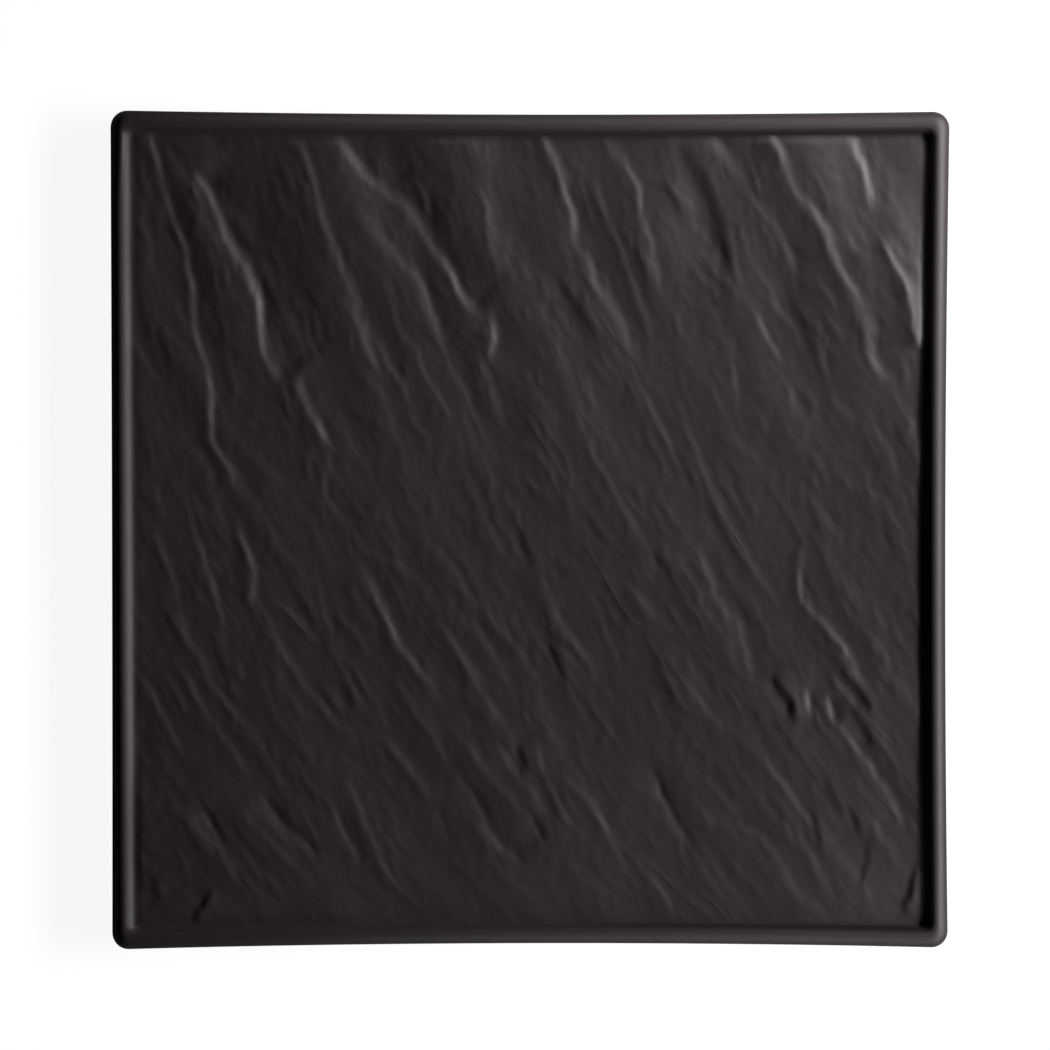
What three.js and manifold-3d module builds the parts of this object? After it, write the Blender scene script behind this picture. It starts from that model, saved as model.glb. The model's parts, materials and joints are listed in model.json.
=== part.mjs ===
// Square serving platter: a fired porcelain body with a round raised rim and a flat foot band under it,
// and four soft non-slip pads, each glued into a shallow round pocket in the foot band.
// Millimetres. +Z is up, +X to the right and +Y to the back. The origin is on the surface that the pads
// stand on, under the middle of the platter.
import * as THREE from 'three';
import { mergeVertices } from 'three/addons/utils/BufferGeometryUtils.js';
import Module from 'manifold-3d';

// Outline seen from above
const WIDTH = 300; // left to right over the corners
const DEPTH = 300; // front to back over the corners
const CORNER_RADIUS = 6; // outer corners
const WELL_CORNER_RADIUS = 1; // corners inside the rim
// How far the kiln has drawn in the middle of each side
const DRAW_IN = { left: 0.2, right: 1.15, back: 1.2, front: 1.8 };

// Heights
const FLOOR_THICKNESS = 6.5;
const RIM_RISE = 2.3; // crest of the rim above the floor
const FOOT_HEIGHT = 2.3; // foot band below the floor's underside
const PAD_STAND = 1.2; // pads below the foot band

// Rim and outer wall
const RIM_WIDTH = 8.8; // from the outline to where the rim's inner slope meets the floor
const CREST_INSET = 4.2; // from the outline to the crest
const SHOULDER_DROP = 6.2; // from the crest down to the widest place of the outer side
const SLOPE_FILLET = 1.7; // run of the hollow by which the inner slope meets the floor
const WALL_LEAN = 1.4; // how far the outer wall leans in towards its lower edge
const LOWER_EDGE_ROUND = 2.2; // rounding from the outer wall to the underside

// Non-slip pads
const PAD_DIAMETER = 14;
const PAD_EDGE_RADIUS = 0.5; // rounded lower edge
const POCKET_DEPTH = 1.2;
const POCKET_CLEARANCE = 0.3; // all round the pad
const GLUE_FILM = 0.3; // between the pad and the pocket's ceiling

// Foot band
const FOOT_INSET = 16; // from the outer outline
const FOOT_CORNER_RADIUS = 24; // outer corners of the band
const FOOT_EDGE_ROUND = 0.9; // rounding along the band's edges
const RECESS_CORNER_RADIUS = 4; // tightest corner of the recess inside the band
const POCKET_LAND = 2.7; // clay left between a pocket and each side of the band

// Smoothness of the curved stretches
const SIDE_STEPS = 10;
const CORNER_STEPS = 5;
const SECTION_STEPS = 5;
const PAD_STEPS = 36;
const PAD_EDGE_STEPS = 2;

// Finishes
const PORCELAIN = { color: 0x262324, roughness: 0.5, metalness: 0 };
const SILICONE = { color: 0x1c1b1b, roughness: 0.8, metalness: 0 };

// Heights and sizes that follow from the ones above
const FOOT_Z = PAD_STAND;
const UNDERSIDE_Z = FOOT_Z + FOOT_HEIGHT;
const FLOOR_Z = UNDERSIDE_Z + FLOOR_THICKNESS;
const PAD_RADIUS = PAD_DIAMETER / 2;
const POCKET_RADIUS = PAD_RADIUS + POCKET_CLEARANCE;
const FOOT_WIDTH = 2 * (POCKET_RADIUS + POCKET_LAND);

const wasm = await Module();
wasm.setup();

// A point of an outline, moved by the bow that the kiln gave to each side. The corners stay in place.
function drawnIn(x, y) {
  const halfWidth = WIDTH / 2;
  const halfDepth = DEPTH / 2;
  const acrossBow = Math.max(0, 1 - (x / (halfWidth - CORNER_RADIUS)) ** 2);
  const alongBow = Math.max(0, 1 - (y / (halfDepth - CORNER_RADIUS)) ** 2);
  const sideDraw = x > 0 ? DRAW_IN.right : DRAW_IN.left;
  const endDraw = y > 0 ? DRAW_IN.back : DRAW_IN.front;
  return new THREE.Vector2(
    x * (1 - (sideDraw * alongBow) / halfWidth),
    y * (1 - (endDraw * acrossBow) / halfDepth),
  );
}

// A rounded rectangle inside the outer outline, counter-clockwise from above.
// Every outline has the same number of points, so that two of them can be joined.
function outline(inset, radius) {
  const reachX = WIDTH / 2 - inset - radius;
  const reachY = DEPTH / 2 - inset - radius;
  const corners = [[1, -1], [1, 1], [-1, 1], [-1, -1]];
  const points = [];
  corners.forEach(([signX, signY], quarter) => {
    const arc = new THREE.EllipseCurve(
      signX * reachX, signY * reachY, radius, radius,
      (quarter - 1) * Math.PI / 2, quarter * Math.PI / 2,
    ).getPoints(CORNER_STEPS);
    const [nextX, nextY] = corners[(quarter + 1) % corners.length];
    const sideStart = arc[CORNER_STEPS];
    const sideEnd = new THREE.Vector2(
      nextX * reachX + radius * Math.cos(quarter * Math.PI / 2),
      nextY * reachY + radius * Math.sin(quarter * Math.PI / 2),
    );
    const side = new THREE.LineCurve(sideStart, sideEnd).getPoints(SIDE_STEPS);
    points.push(...arc, ...side.slice(1, SIDE_STEPS));
  });
  return points.map((point) => drawnIn(point.x, point.y));
}

// Section through the rim and the outer wall, as (inset, height) points: from the floor, over the crest and
// down to the underside.
function rimSection() {
  const section = new THREE.Path();
  const crestZ = FLOOR_Z + RIM_RISE;
  const shoulderZ = crestZ - SHOULDER_DROP;
  const slopeRun = RIM_WIDTH - CREST_INSET;
  const crownRun = slopeRun - SLOPE_FILLET;
  const filletZ = FLOOR_Z + RIM_RISE * SLOPE_FILLET / slopeRun;
  section.moveTo(RIM_WIDTH, FLOOR_Z);
  section.quadraticCurveTo(RIM_WIDTH - SLOPE_FILLET / 2, FLOOR_Z, RIM_WIDTH - SLOPE_FILLET, filletZ);
  section.quadraticCurveTo(CREST_INSET + crownRun / 2, crestZ, CREST_INSET, crestZ);
  section.absellipse(CREST_INSET, shoulderZ, CREST_INSET, SHOULDER_DROP, Math.PI / 2, Math.PI);
  const wallTop = new THREE.Vector2(0, shoulderZ);
  const wallFoot = new THREE.Vector2(WALL_LEAN, UNDERSIDE_Z);
  const wallLength = wallTop.distanceTo(wallFoot);
  const roundStart = wallFoot.clone().lerp(wallTop, LOWER_EDGE_ROUND / wallLength);
  section.lineTo(roundStart.x, roundStart.y);
  section.quadraticCurveTo(wallFoot.x, wallFoot.y, WALL_LEAN + LOWER_EDGE_ROUND, UNDERSIDE_Z);
  return section.getPoints(SECTION_STEPS);
}

// Section through the foot band, as (inset, height) points, from its outer side to the recess inside it.
function footSection() {
  const section = new THREE.Path();
  const inner = FOOT_INSET + FOOT_WIDTH;
  section.moveTo(FOOT_INSET, UNDERSIDE_Z);
  section.lineTo(FOOT_INSET, FOOT_Z + FOOT_EDGE_ROUND);
  section.quadraticCurveTo(FOOT_INSET, FOOT_Z, FOOT_INSET + FOOT_EDGE_ROUND, FOOT_Z);
  section.lineTo(inner - FOOT_EDGE_ROUND, FOOT_Z);
  section.quadraticCurveTo(inner, FOOT_Z, inner, FOOT_Z + FOOT_EDGE_ROUND);
  section.lineTo(inner, UNDERSIDE_Z);
  return section.getPoints(SECTION_STEPS);
}

// Joins a row of outlines, each at its height, into one closed skin with a flat lid on the first and last.
function loft(rings) {
  const count = rings[0].points.length;
  const positions = rings.flatMap(({ points, z }) => points.flatMap((point) => [point.x, point.y, z]));
  const faces = [];
  for (let ring = 0; ring + 1 < rings.length; ring += 1) {
    for (let step = 0; step < count; step += 1) {
      const here = ring * count + step;
      const beside = ring * count + (step + 1) % count;
      faces.push(here, here + count, beside + count, here, beside + count, beside);
    }
  }
  const lastRing = (rings.length - 1) * count;
  THREE.ShapeUtils.triangulateShape(rings[0].points, []).forEach(([a, b, c]) => faces.push(a, b, c));
  THREE.ShapeUtils.triangulateShape(rings.at(-1).points, []).forEach(
    ([a, b, c]) => faces.push(lastRing + a, lastRing + c, lastRing + b),
  );
  const geometry = new THREE.BufferGeometry();
  geometry.setAttribute('position', new THREE.Float32BufferAttribute(positions, 3));
  geometry.setIndex(faces);
  return geometry;
}

function toSolid(geometry) {
  const bare = geometry.clone();
  bare.deleteAttribute('normal');
  bare.deleteAttribute('uv');
  const merged = mergeVertices(bare);
  return new wasm.Manifold(new wasm.Mesh({
    numProp: 3,
    vertProperties: new Float32Array(merged.attributes.position.array),
    triVerts: new Uint32Array(merged.index.array),
  }));
}

function toGeometry(solid) {
  const mesh = solid.getMesh();
  const geometry = new THREE.BufferGeometry();
  geometry.setAttribute('position', new THREE.BufferAttribute(mesh.vertProperties, 3));
  geometry.setIndex(new THREE.BufferAttribute(mesh.triVerts, 1));
  geometry.computeVertexNormals();
  return geometry;
}

// A round solid about a standing axis, from (radius, height) points that start and end on the axis.
function turned(profile) {
  return new THREE.LatheGeometry(profile, PAD_STEPS).rotateX(Math.PI / 2);
}

// Middle of the foot band at a corner, where a pad sits.
function padCentre(signX, signY) {
  const bandRadius = FOOT_CORNER_RADIUS - FOOT_WIDTH / 2;
  const inset = FOOT_INSET + FOOT_CORNER_RADIUS - bandRadius * Math.SQRT1_2;
  return new THREE.Vector2(signX * (WIDTH / 2 - inset), signY * (DEPTH / 2 - inset));
}

function pocketGeometry() {
  return turned([
    new THREE.Vector2(0, FOOT_Z - POCKET_DEPTH),
    new THREE.Vector2(POCKET_RADIUS, FOOT_Z - POCKET_DEPTH),
    new THREE.Vector2(POCKET_RADIUS, FOOT_Z + POCKET_DEPTH),
    new THREE.Vector2(0, FOOT_Z + POCKET_DEPTH),
  ]);
}

function padGeometry() {
  const top = FOOT_Z + POCKET_DEPTH - GLUE_FILM;
  const profile = new THREE.Path();
  profile.moveTo(0, 0);
  profile.lineTo(PAD_RADIUS - PAD_EDGE_RADIUS, 0);
  profile.absarc(PAD_RADIUS - PAD_EDGE_RADIUS, PAD_EDGE_RADIUS, PAD_EDGE_RADIUS, -Math.PI / 2, 0);
  profile.lineTo(PAD_RADIUS, top);
  profile.lineTo(0, top);
  return turned(profile.getPoints(PAD_EDGE_STEPS));
}

function bodyGeometry(padCentres) {
  const rimRings = rimSection().map((point) => ({
    points: outline(point.x, Math.max(CORNER_RADIUS - point.x, WELL_CORNER_RADIUS)),
    z: point.y,
  }));
  const footRings = footSection().map((point) => ({
    points: outline(point.x, Math.max(FOOT_CORNER_RADIUS + FOOT_INSET - point.x, RECESS_CORNER_RADIUS)),
    z: point.y,
  }));
  const clay = toSolid(loft([...rimRings, ...footRings]));
  const pocketed = padCentres.reduce(
    (solid, centre) => solid.subtract(toSolid(pocketGeometry().translate(centre.x, centre.y, 0))),
    clay,
  );
  return toGeometry(pocketed);
}

function namedMesh(name, geometry, finish) {
  const mesh = new THREE.Mesh(geometry, new THREE.MeshStandardMaterial(finish));
  mesh.name = name;
  return mesh;
}

const PAD_CORNERS = {
  foot_front_left: [-1, -1],
  foot_front_right: [1, -1],
  foot_back_left: [-1, 1],
  foot_back_right: [1, 1],
};

const platter = new THREE.Group();
const padCentres = Object.values(PAD_CORNERS).map(([signX, signY]) => padCentre(signX, signY));
platter.add(namedMesh('platter_body', bodyGeometry(padCentres), PORCELAIN));
Object.keys(PAD_CORNERS).forEach((name, index) => {
  const pad = namedMesh(name, padGeometry(), SILICONE);
  pad.position.set(padCentres[index].x, padCentres[index].y, 0);
  platter.add(pad);
});

export default platter;
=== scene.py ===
import json
import math

import bmesh
import bpy
import numpy as np
from mathutils import Matrix, Vector, noise


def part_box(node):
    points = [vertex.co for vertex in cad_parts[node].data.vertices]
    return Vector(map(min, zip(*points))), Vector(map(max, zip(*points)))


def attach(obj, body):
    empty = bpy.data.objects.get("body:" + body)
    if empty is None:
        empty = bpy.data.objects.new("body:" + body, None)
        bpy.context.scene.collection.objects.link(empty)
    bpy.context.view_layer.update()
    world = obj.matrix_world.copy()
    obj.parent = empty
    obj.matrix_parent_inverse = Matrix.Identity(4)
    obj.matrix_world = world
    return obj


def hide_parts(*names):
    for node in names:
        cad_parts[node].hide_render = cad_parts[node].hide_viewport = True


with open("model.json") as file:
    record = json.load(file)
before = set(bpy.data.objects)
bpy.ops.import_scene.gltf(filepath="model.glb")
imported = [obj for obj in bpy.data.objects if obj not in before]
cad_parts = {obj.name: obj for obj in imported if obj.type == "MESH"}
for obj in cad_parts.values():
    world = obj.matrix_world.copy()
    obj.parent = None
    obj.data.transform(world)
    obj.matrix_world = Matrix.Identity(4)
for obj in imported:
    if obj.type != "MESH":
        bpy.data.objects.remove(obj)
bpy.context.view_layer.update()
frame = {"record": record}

MM = 0.001
ROOT = "root"
PADS = ("front_left", "front_right", "back_left", "back_right")

# Places and sizes that the frame gives
body_low, body_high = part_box("platter_body")
HALF_WIDTH = (body_high.x - body_low.x) / 2 / MM
HALF_DEPTH = (body_high.y - body_low.y) / 2 / MM
CREST_Z = body_high.z / MM
FOOT_Z = body_low.z / MM
mounts = {mount["name"]: mount for mount in frame["record"]["mounts"]}
FLOOR_Z = mounts["serving_floor"]["pos_m"][2] / MM
pad_boxes = {corner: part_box("foot_" + corner) for corner in PADS}

# Rim, wall and foot band. The solids have one section all round. Here the crest and the foot of the inner
# slope lie a little differently on each side, as the photograph shows
CORNER_RADIUS = 6.0
WELL_CORNER_RADIUS = 1.0
DRAW_IN = {"left": 0.2, "right": 1.15, "back": 1.2, "front": 1.8}  # bow that the kiln gave to each side
RIM_WIDTHS = (9.0, 8.8, 9.0, 8.3)  # from the outline to the foot of the slope: right, back, left, front
CREST_INSETS = (4.6, 5.7, 3.75, 5.7)  # from the outline to the crest, in the same order
CORNER_BLEND = 0.12  # share of a side over which its crest passes into that of the next one
LEFT_SPLAY = 0.004  # mm that the left rim narrows for each mm backwards
FILLET_SHARE = 0.38  # of the slope's width, hollow where it meets the floor
CORNER_SHARE = 0.25  # of the slope's width, rounding of its foot in the corners
SHOULDER_DROP = 6.2  # from the crest to the widest line of the wall
FLOOR_THICKNESS = 6.5
WALL_LEAN = 1.4  # how far the wall leans in below that line
LOWER_EDGE_ROUND = 2.2
UNDERSIDE_Z = FLOOR_Z - FLOOR_THICKNESS
SHOULDER_Z = CREST_Z - SHOULDER_DROP
FOOT_INSET = 16.0  # from the outline to the foot band
FOOT_WIDTH = 20.0
FOOT_CORNER_RADIUS = 24.0
FOOT_EDGE_ROUND = 0.9
RECESS_CORNER_RADIUS = 4.0  # the least of the recess inside the foot band
POCKET_DEPTH = 1.2
POCKET_CLEARANCE = 0.3  # around a pad, for its glue

# Section of a pad, as radius and height from its middle outwards
PAD_DISH = [(0, 0.3), (1.8, 0.3), (2.3, 0.05), (2.6, 0)]
PAD_GROOVE = [(4.2, 0), (4.5, 0.06), (4.7, 0.25), (5.0, 0.25), (5.2, 0.06), (5.5, 0)]
PAD_EDGE_ROUND = 0.5
PAD_EDGE_BEND = 0.15  # how far the middle of that round lies in from the lower face and the wall
PAD_TOP_CHAMFER = 0.3

# Fineness of the meshes
FLOOR_COLUMNS = 340  # closer together than the rows, because most marks run more backwards than sideways
FLOOR_ROWS = 222
SLOPE_STEPS = 7
SHOULDER_STEPS = 6
WALL_STEPS = 2
EDGE_STEPS = 3
FOOT_STATIONS = 240
POCKET_SEGMENTS = 48
PAD_SEGMENTS = 64
MERGE_DISTANCE = 0.001
ON_EDGE = 1 - 1e-6  # share of the floor grid's half size from which a vertex is on its edge
DOWNWARD = -0.999  # upward part of a normal, below which a face is one of the planes of the underside

# The floor as a whole
FLOOR_EDGE = 8.2  # from the outline to the edge of its grid
EDGE_RELIEF = 0.4  # share of the relief that is left at that edge
EDGE_FADE = 3.0  # how far in from it the relief is whole
FLOOR_FALL = 0.0035  # mm that the floor sinks for each mm to the right

# Grain of the split stone, which leans from the back left to the front right, and more so towards the front
GRAIN_LEAN = 0.54  # mm to the right for each mm forwards, at the middle
GRAIN_CURL = 0.0015  # growth of that lean for each mm forwards

# Form of each kind of stroke: the share of its drop that stands left of the line and how many mm that
# reaches, then the same right of it
STROKE_FORMS = {
    "step": (0.5, 8.0, -0.5, 8.0),  # a layer breaks off and the floor falls away to the right
    "fold": (0.75, 3.4, -0.25, 6.0),  # a climb that breaks off to the right
    "valley": (0.1, 6.0, -0.9, 9.0),  # a fall that climbs back slowly
    "brow": (0.75, 9.0, 0.75, 2.6),  # a swelling that breaks off and fades out to the right
    "groove": (0.0, 1.0, -1.0, 4.0),  # a fall that soon climbs back
    "rise": (-0.4, 7.0, 0.6, 6.0),  # the floor climbs to the right
    "ridge": (1.0, 2.4, 1.0, 4.0),
    "cleft": (-1.0, 2.0, -1.0, 2.0),
}
# The strokes that stand out, each with its drop, its width and the points it runs through, back to front.
# The last two cross the grain, and run from left to right
DRAWN_STROKES = {
    "valley": [
        (1.7, 4.6, [(-120, 130), (-117, 124), (-111.5, 113.5), (-106.5, 102.5), (-100, 91),
            (-96.5, 83), (-95.5, 72.5), (-94, 64.5), (-90.5, 56.5), (-86.5, 52)]),
        (1.5, 6, [(-71.5, 145), (-63.5, 132.5), (-55, 123.5), (-46, 117.5), (-40.5, 111), (-35, 103),
            (-30, 95.5), (-26.5, 87.5), (-22, 80), (-16, 75.5)]),
    ],
    "step": [
        (0.85, 5.6, [(2, 149), (8, 132.5), (12, 123.5), (15, 111), (17, 98)]),
        (1.2, 6.2, [(80, 148.5), (91, 133.5), (93.5, 123.5), (101, 113.5), (106.5, 105.5),
            (110, 94.5), (114.5, 86.5), (119.5, 79.5), (121, 73), (120.5, 64.5), (124, 58.5),
            (129.5, 51.5)]),
        (0.3, 3.1, [(-56.5, 57), (-55, 53), (-50.5, 40), (-47.5, 29.5), (-46, 25.5)]),
        (0.35, 3.1, [(-116, 35), (-114, 31.5), (-110, 25.5), (-106, 17.5), (-102, 10.5), (-100.5, 7)]),
        (0.25, 3.1, [(-130, 44), (-128, 41), (-119.5, 29.5), (-112.5, 20.5), (-109.5, 9), (-108.5, 5)]),
        (0.25, 3.1, [(-72, 48.5), (-70.5, 45), (-65.5, 34.5), (-63.5, 28.5), (-63, 24.5)]),
        (0.3, 3.1, [(-140, 122.5), (-139, 119), (-137, 107.5), (-135.5, 98.5), (-134.5, 90), (-134, 86)]),
        (0.6, 3.1, [(-44.5, 129), (-42, 126), (-37.5, 120.5), (-36, 111.5), (-35.5, 107.5)]),
        (0.3, 3.1, [(65.5, 80.5), (67, 76.5), (71, 67), (72.5, 55), (74, 42), (74.5, 38)]),
        (0.35, 3.4, [(52.5, 40), (54.5, 36.5), (59, 30.5), (62, 20.5), (67, 10), (72, 1), (74, -2.5)]),
        (0.25, 3.1, [(23.5, 67), (25, 63.5), (28, 55), (31, 49), (33, 45.5)]),
        (0.25, 3.1, [(67.5, 40), (70, 36.5), (76.5, 29.5), (82.5, 23.5), (85, 20.5)]),
        (0.3, 3.1, [(63.5, 24.5), (66, 21.5), (71, 14), (75, 7), (77, 3.5)]),
        (0.25, 3.4, [(109, 24), (112, 21.5), (118.5, 16), (125.5, 10), (128.5, 7.5)]),
        (0.25, 3.4, [(101.5, 80.5), (102, 76.5), (104, 63.5), (108, 51), (109.5, 47.5)]),
        (0.85, 3.3, [(-139.5, 150), (-132.5, 133.5), (-130.5, 122), (-126.5, 109.5), (-122.5, 98),
            (-120.5, 89.5), (-120.5, 79), (-119, 68), (-116, 61), (-114.5, 53.5), (-114, 43.5),
            (-113.5, 32.5), (-109.5, 25.5), (-105, 17.5), (-101, 10)]),
        (0.51, 2.8, [(-131.5, 140.5), (-129.5, 137), (-119.5, 120.5), (-115, 109.5), (-109.5, 99.5),
            (-105, 91), (-103.5, 87.5)]),
        (0.29, 3.3, [(-115.5, 48.5), (-113, 45.5), (-104.5, 32.5), (-97.5, 25.5), (-91, 20.5),
            (-88, 16), (-85.5, 12.5)]),
        (1.1, 5.2, [(-85, 57.5), (-82, 51), (-78, 43), (-70.5, 27.5)]),
        (0.43, 3.8, [(-71, 34), (-71.5, 30), (-73, 19.5), (-73, 13), (-68.5, 6.5), (-65, -1.5),
            (-63.5, -5)]),
        (0.72, 4.3, [(-86.5, 148.5), (-77, 125.5), (-73.5, 111), (-70.5, 99.5), (-65.5, 89.5), (-62, 80.5),
            (-59, 74)]),
        (0.65, 3.8, [(-69, 85), (-66.5, 81.5), (-60.5, 74), (-58, 64.5), (-53.5, 56.5), (-51.5, 53)]),
        (0.72, 4.8, [(-63.5, 119.5), (-58, 109.5), (-51.5, 101), (-41, 90.5), (-37.5, 81), (-33, 71.5),
            (-30.5, 64.5)]),
        (0.91, 3.3, [(-14.5, 80), (-13, 70), (-14.5, 62.5), (-16, 58.5)]),
        (0.58, 3.8, [(-19.5, 67.5), (-18.5, 63.5), (-13, 48), (-8.5, 39.5), (-7, 35.5)]),
        (0.91, 8.5, [(-26.5, 147), (-16, 132.5), (-11, 125)]),
        (0.65, 4.3, [(19, 105.5), (19.5, 102), (22.5, 89.5), (28, 82.5), (33, 73), (36.5, 63), (38, 59)]),
        (0.62, 4, [(24, 147), (33.5, 130), (38, 123.5), (39.5, 114), (41.5, 104), (44.5, 93),
            (49, 85.5)]),
        (0.55, 3.3, [(70, 101), (71.5, 97.5), (77, 84), (81.5, 75), (85, 68), (87, 64.5)]),
        (0.98, 7.6, [(59.5, 148.5), (73, 129), (79.5, 120.5)]),
        (1.3, 5.2, [(111, 147.5), (119, 132.5), (121, 123.5), (123, 113.5)]),
        (0.39, 3.8, [(90.5, 57.5), (91.5, 53.5), (95, 42.5), (100, 38), (97.5, 32), (95.5, 28)]),
        (0.43, 4.8, [(104, 53), (106.5, 50), (114, 42.5), (120.5, 36), (128, 26.5), (130.5, 23.5)]),
    ],
    "fold": [
        (0.39, 2.8, [(94, 20), (98, 14), (104, 5), (109, -2), (113, -8)]),
        (0.33, 3.1, [(-122, 4), (-119, -2), (-114, -14.5), (-111.5, -27), (-110, -35), (-109, -42)]),
        (0.45, 2.8, [(-66.5, -84), (-64.5, -90.5), (-59, -105), (-54, -117), (-48, -126.5), (-44, -132)]),
        (0.45, 3.1, [(-28, -73), (-23, -78), (-16, -85.5), (-8, -94.5), (-3.5, -101.5), (-0.5, -108)]),
        (0.39, 3.1, [(-77.5, -19), (-75, -26), (-71.5, -36), (-66.5, -50.5), (-63.5, -56), (-61, -62.5)]),
        (0.33, 2.8, [(-71, -23), (-67.5, -29), (-61, -39), (-56, -45.5), (-51.5, -50.5)]),
        (0.33, 3.1, [(-34, -30), (-30.5, -36), (-25.5, -44.5), (-20, -50.5), (-15.5, -56)]),
        (0.39, 3.1, [(-49, -49.5), (-46, -55.5), (-40.5, -66), (-34.5, -74), (-30.5, -81), (-27, -87.5)]),
        (0.39, 3.1, [(-129.5, -26), (-126.5, -32), (-121.5, -40), (-113.5, -55.5), (-108.5, -61.5),
            (-104, -67)]),
        (0.45, 2.8, [(-4, -30.5), (0.5, -36), (6, -43.5), (11, -53.5), (18, -65), (21.5, -71)]),
        (0.39, 3.1, [(52, -47.5), (55.5, -53.5), (62, -64), (71, -71), (76.5, -75.5)]),
        (0.39, 2.8, [(30.5, -14.5), (35, -19.5), (41.5, -27), (45.5, -33), (49.5, -39)]),
        (0.33, 3.1, [(-4, -13), (0.5, -18.5), (8.5, -29), (15.5, -39), (20, -45)]),
        (0.45, 2.8, [(0, -73.5), (2.5, -80), (6.5, -92.5), (11.5, -103), (20, -109), (25.5, -113)]),
        (0.45, 2.8, [(35.5, -117.5), (40.5, -122), (46.5, -128.5), (49.5, -133.5), (53, -139.5)]),
        (0.45, 2.8, [(68.5, 3.5), (72, -2), (78.5, -11.5), (85.5, -22.5), (89.5, -28.5)]),
        (0.45, 3.2, [(116, -96.5), (120.5, -101.5), (125.5, -108), (130.5, -116), (134.5, -122)]),
        (0.77, 3.9, [(96.5, -4), (96.5, -11), (96.5, -23.5), (99.5, -28.5), (106.5, -33.5),
            (112.5, -42), (115, -52), (117, -59)]),
        (0.38, 3.4, [(72.5, -70), (77, -75.5), (85, -85), (93.5, -94), (99.5, -105), (102.5, -111)]),
        (0.4, 2.8, [(55, -107.5), (60.5, -117.5), (65.5, -127), (71, -137.5)]),
        (0.56, 3.9, [(87.5, -122.5), (93, -127.5), (98.5, -132), (104, -136.5), (109, -141)]),
        (0.42, 3, [(-136.5, -73), (-133, -79), (-129.5, -86.5), (-121, -93), (-115.5, -97)]),
        (0.51, 3.4, [(-98.5, -29), (-94.5, -34.5), (-88, -43.5), (-83.5, -51), (-78.5, -58.5),
            (-70.5, -68.5), (-61.5, -73.5), (-55, -76.5)]),
        (0.47, 3.4, [(-128, -43.5), (-124.5, -49.5), (-114.5, -66), (-109.5, -74), (-101, -86.5),
            (-97, -92)]),
        (0.38, 3.9, [(-116.5, -53), (-111.5, -58.5), (-104, -67), (-97.5, -75.5), (-92.5, -82.5),
            (-87, -92), (-84, -98)]),
        (0.68, 3.9, [(-106, 7.5), (-104, 1), (-100, -10.5), (-99, -17), (-100, -24), (-101, -31)]),
        (0.47, 3.4, [(-93.5, -22), (-88.5, -27), (-83.5, -32.5), (-78, -38), (-73, -43)]),
        (0.47, 3.9, [(-139, 6), (-135.5, 0), (-130.5, -9), (-129.5, -16.5), (-125.5, -27),
            (-123, -36.5), (-119.5, -44.5), (-114, -52), (-109.5, -58)]),
        (0.29, 3.4, [(-129, 26), (-126.5, 19.5), (-119.5, -2), (-113, -20), (-110.5, -26.5)]),
        (0.47, 3.4, [(-62.5, -5), (-56.5, -8), (-47.5, -12), (-41.5, -17), (-36, -21.5)]),
        (0.38, 3.4, [(-43, 2.5), (-38, -2.5), (-30, -11.5), (-23, -20.5), (-16, -30), (-5.5, -40.5),
            (-1, -46)]),
        (0.62, 3.9, [(8, -85.5), (13.5, -90), (22.5, -96.5), (27.5, -110), (33, -117), (37.5, -122.5)]),
        (0.68, 3.9, [(-56, -71.5), (-51, -76.5), (-43, -83.5), (-39, -90.5), (-35, -96.5)]),
        (1.01, 5.6, [(-65, -7.5), (-61.5, -13.5), (-55, -24), (-50.5, -33), (-47.5, -40.5),
            (-41.5, -48.5), (-34.5, -56.5), (-30, -61.5)]),
    ],
    "brow": [
        (1.82, 2.8, [(123, 106), (131, 93), (134, 87.5), (136, 76.5), (138, 63.5)]),
        (0.59, 4.8, [(-20.5, 130), (-16.5, 114), (-14.5, 99.5), (-9.5, 89)]),
    ],
    "groove": [
        (0.58, 3.8, [(75, 126.5), (77, 123.5), (86.5, 111), (91, 101), (95, 88), (96.5, 84.5)]),
        (0.46, 3.3, [(80.5, 79), (82, 75), (86, 68), (90, 61), (92, 57.5)]),
        (0.75, 2.7, [(-19.5, -104.5), (-14.5, -109.5), (-9.5, -113.5), (-5, -118), (0, -122.5)]),
        (0.77, 3.4, [(-14.5, -73.5), (-10.5, -79), (-1.5, -90.5), (5, -99.5), (9, -105)]),
        (0.66, 4.3, [(59.5, -4.5), (62, -11), (67, -23), (73.5, -32), (76.5, -39.5), (80, -52),
            (82, -59)]),
        (0.56, 2.2, [(-73, -94.5), (-70, -100.5), (-67, -108), (-63.5, -115), (-60.5, -121.5)]),
        (0.8, 3, [(97, -54), (99.5, -61), (101, -67.5)]),
        (1, 2.6, [(105.5, -57.5), (107.5, -65.5), (109.5, -70.5)]),
        (0.8, 3.2, [(109.5, -67.5), (114, -73.5), (118, -77.5), (125.5, -90.5), (132.5, -102),
            (136, -108)]),
    ],
    "rise": [
        (0.52, 3.2, [(-68, -52.5), (-64.5, -59.5), (-61.5, -66)]),
        (0.39, 3.1, [(6.5, -39), (11.5, -53.5), (15.5, -61.5)]),
        (1.17, 6.2, [(53, 140), (60, 125.5), (65.5, 117), (68, 104), (72, 89.5)]),
        (0.77, 3.6, [(98.5, -97.5), (101.5, -103.5), (103.5, -109.5), (106, -116.5)]),
        (0.5, 3, [(103.5, -87.5), (106, -91.5), (111, -100), (113, -103.5)]),
        (0.6, 3, [(113, -96.5), (115.5, -102), (118, -108), (119.5, -112)]),
        (0.5, 3, [(119.5, -110), (121.5, -117), (120, -124), (115.5, -130)]),
        (0.91, 3.4, [(139, -117), (135.5, -131.5), (132.5, -140)]),
        (1.01, 2.7, [(-113, -126), (-117.5, -134.5), (-122.5, -141)]),
        (0.66, 2.4, [(-137.5, -127.5), (-134.5, -129.5), (-132, -131.5)]),
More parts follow.
